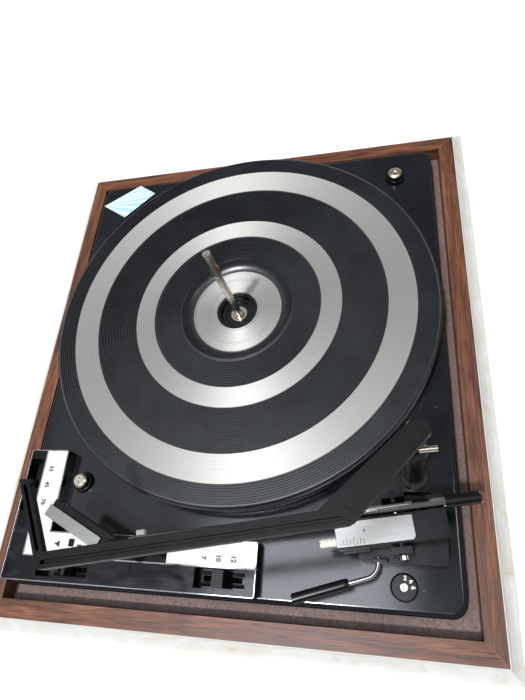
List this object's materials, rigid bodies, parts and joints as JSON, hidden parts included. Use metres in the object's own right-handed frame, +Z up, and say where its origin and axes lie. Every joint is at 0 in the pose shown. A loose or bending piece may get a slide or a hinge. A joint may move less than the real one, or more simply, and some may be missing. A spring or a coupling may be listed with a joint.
{
  "type": "turntable record player",
  "caption": "Automatic record changer: ribbed platter with bright rings, step stacking spindle, tonearm, swing-over arm and lever panel on a sprung deck in a veneered plinth.",
  "frame": {"origin": "centre of the footprint, on the surface the feet stand on", "axes": "+Z up, +X to the user's right along the width, +Y to the back"},
  "size_m": [0.38, 0.33, 0.201],
  "materials": {
    "veneer": "walnut veneer, open pored, satin lacquer",
    "cream": "cream moulding, slightly yellowed, semi-gloss",
    "board": "bare chipboard",
    "hardboard": "brown hardboard",
    "zinc": "zinc plated",
    "rubber": "black rubber",
    "spring_steel": "drawn wire",
    "nickel": "warm nickel plate",
    "deck_paint": "black satin paint",
    "black_plastic": "black moulded plastic",
    "gloss_black": "polished black",
    "bright_trim": "bright edge",
    "scale_white": "white satin lacquer",
    "nylon": "white nylon",
    "copper": "varnished copper winding",
    "brass": "turned brass",
    "rotor_steel": "ground steel",
    "pan_metal": "dark cast, satin black",
    "mat_rubber": "black ribbed mat",
    "spun_aluminium": "spun, brushed round",
    "hub_black": "black moulding",
    "brushed_plate": "brushed plate",
    "arm_metal": "satin polished tube"
  },
  "bodies": {
    "plinth": {"wall_front": "veneer", "wall_back": "veneer", "wall_left": "veneer", "wall_right": "veneer", "moulding_front": "cream", "moulding_back": "cream", "moulding_left": "cream", "moulding_right": "cream", "motor_board_front": "board", "motor_board_back": "board", "motor_board_sides": "board", "base_board": "hardboard", "base_screws": "zinc", "feet": "rubber", "cord_grommet": "rubber", "suspension_springs": "spring_steel", "transit_screws": "nickel"},
    "deck": {"deck_plate": "deck_paint", "screw_collars": "black_plastic", "bearing_post": "nickel", "thrust_race": "spring_steel", "control_panel": "gloss_black", "panel_trim": "bright_trim", "scale_plates": "scale_white", "arm_rest": "nylon", "arm_pedestal": "black_plastic", "overarm_post": "black_plastic", "motor_stack": "zinc", "motor_coil": "copper", "cam_gear": "nylon", "idler_arm": "zinc"},
    "platter": {"platter_pan": "pan_metal", "platter_mat": "mat_rubber", "mat_rings": "spun_aluminium", "centre_disc": "spun_aluminium", "platter_hub": "hub_black"},
    "idler": {"idler_wheel": "nylon", "idler_tyre": "rubber"},
    "rotor": {"motor_rotor": "rotor_steel", "motor_pulley": "brass"},
    "spindle": {"stack_spindle": "nickel"},
    "pawl": {"record_pawl": "brass"},
    "speed_lever": {"speed_lever": "black_plastic"},
    "size_lever": {"size_lever": "black_plastic"},
    "start_lever": {"start_lever": "black_plastic"},
    "cue": {"cue_lever": "arm_metal", "cue_handle": "black_plastic"},
    "antiskate": {"antiskate_dial": "gloss_black", "dial_screw": "nickel"},
    "arm_yoke": {"arm_yoke": "black_plastic"},
    "tonearm": {"arm_tube": "arm_metal", "arm_housing": "gloss_black", "force_scale": "brushed_plate", "headshell": "black_plastic", "head_plate": "brushed_plate", "cartridge": "nylon"},
    "force_adjuster": {"force_adjuster": "nickel"},
    "counterweight": {"counterweight": "black_plastic"},
    "overarm_shaft": {"overarm_shaft": "zinc"},
    "overarm": {"overarm": "black_plastic"}
  },
  "joints": [
    {"name": "deck_float", "type": "slide", "parent": "plinth", "child": "deck", "axis": [0, 0, 1], "range_m": [-0.003, 0.0015], "stiffness_N_per_m": 16000, "springref_m": 0.00147, "deforming": ["suspension_springs"]},
    {"name": "platter_spin", "type": "hinge", "parent": "deck", "child": "platter", "pos_m": [-0.02415, -0.0005, 0.113], "axis": [0, 0, 1], "continuous": true},
    {"name": "idler_spin", "type": "hinge", "parent": "deck", "child": "idler", "pos_m": [-0.12327, -0.0562, 0.11], "axis": [0, 0, 1], "continuous": true},
    {"name": "motor_spin", "type": "hinge", "parent": "deck", "child": "rotor", "pos_m": [-0.10002, -0.05767, 0.083], "axis": [0, 0, 1], "continuous": true},
    {"name": "spindle_lift", "type": "slide", "parent": "deck", "child": "spindle", "axis": [0, 0, 1], "range_m": [0, 0.06]},
    {"name": "pawl_trip", "type": "hinge", "parent": "spindle", "child": "pawl", "pos_m": [-0.02415, -0.0001, 0.175], "axis": [1, 0, 0], "range_deg": [-10, 0], "stiffness_Nm_per_rad": 0.0005, "springref_deg": 5.73},
    {"name": "speed_select", "type": "slide", "parent": "deck", "child": "speed_lever", "axis": [1, 0, 0], "range_m": [-0.011, 0.0115]},
    {"name": "size_select", "type": "slide", "parent": "deck", "child": "size_lever", "axis": [0, 1, 0], "range_m": [-0.0095, 0.0095]},
    {"name": "start_stop", "type": "slide", "parent": "deck", "child": "start_lever", "axis": [0, 1, 0], "range_m": [-0.008, 0.008], "stiffness_N_per_m": 60},
    {"name": "cue_lift", "type": "hinge", "parent": "deck", "child": "cue", "pos_m": [0.13585, 0.0941, 0.1185], "axis": [-1, 0, 0], "range_deg": [0, 28]},
    {"name": "antiskate_turn", "type": "hinge", "parent": "deck", "child": "antiskate", "pos_m": [0.14835, 0.107, 0.105], "axis": [0, 0, 1], "range_deg": [-135, 135]},
    {"name": "arm_swing", "type": "hinge", "parent": "deck", "child": "arm_yoke", "pos_m": [0.11115, 0.1035, 0.123], "axis": [0, 0, 1], "range_deg": [-41, 0]},
    {"name": "arm_lift", "type": "hinge", "parent": "arm_yoke", "child": "tonearm", "pos_m": [0.11115, 0.1035, 0.133], "axis": [-0.9871, -0.1599, 0], "range_deg": [0, 8]},
    {"name": "force_turn", "type": "hinge", "parent": "tonearm", "child": "force_adjuster", "pos_m": [0.1291, 0.07399, 0.1295], "axis": [-0.1599, 0.9871, 0], "range_deg": [-170, 170]},
    {"name": "balance_turn", "type": "hinge", "parent": "tonearm", "child": "counterweight", "pos_m": [0.10635, 0.13311, 0.133], "axis": [-0.1599, 0.9871, 0], "range_deg": [-170, 170]},
    {"name": "overarm_lower", "type": "slide", "parent": "deck", "child": "overarm_shaft", "axis": [0, 0, 1], "range_m": [-0.022, 0]},
    {"name": "overarm_swing", "type": "hinge", "parent": "overarm_shaft", "child": "overarm", "pos_m": [0.08785, 0.115, 0.198], "axis": [0, 0, 1], "range_deg": [-52, 0]}
  ],
  "couplings": [
    {"joint": "idler_spin", "follows": "platter_spin", "ratio": 6.7},
    {"joint": "motor_spin", "follows": "platter_spin", "ratio": -44.667}
  ]
}
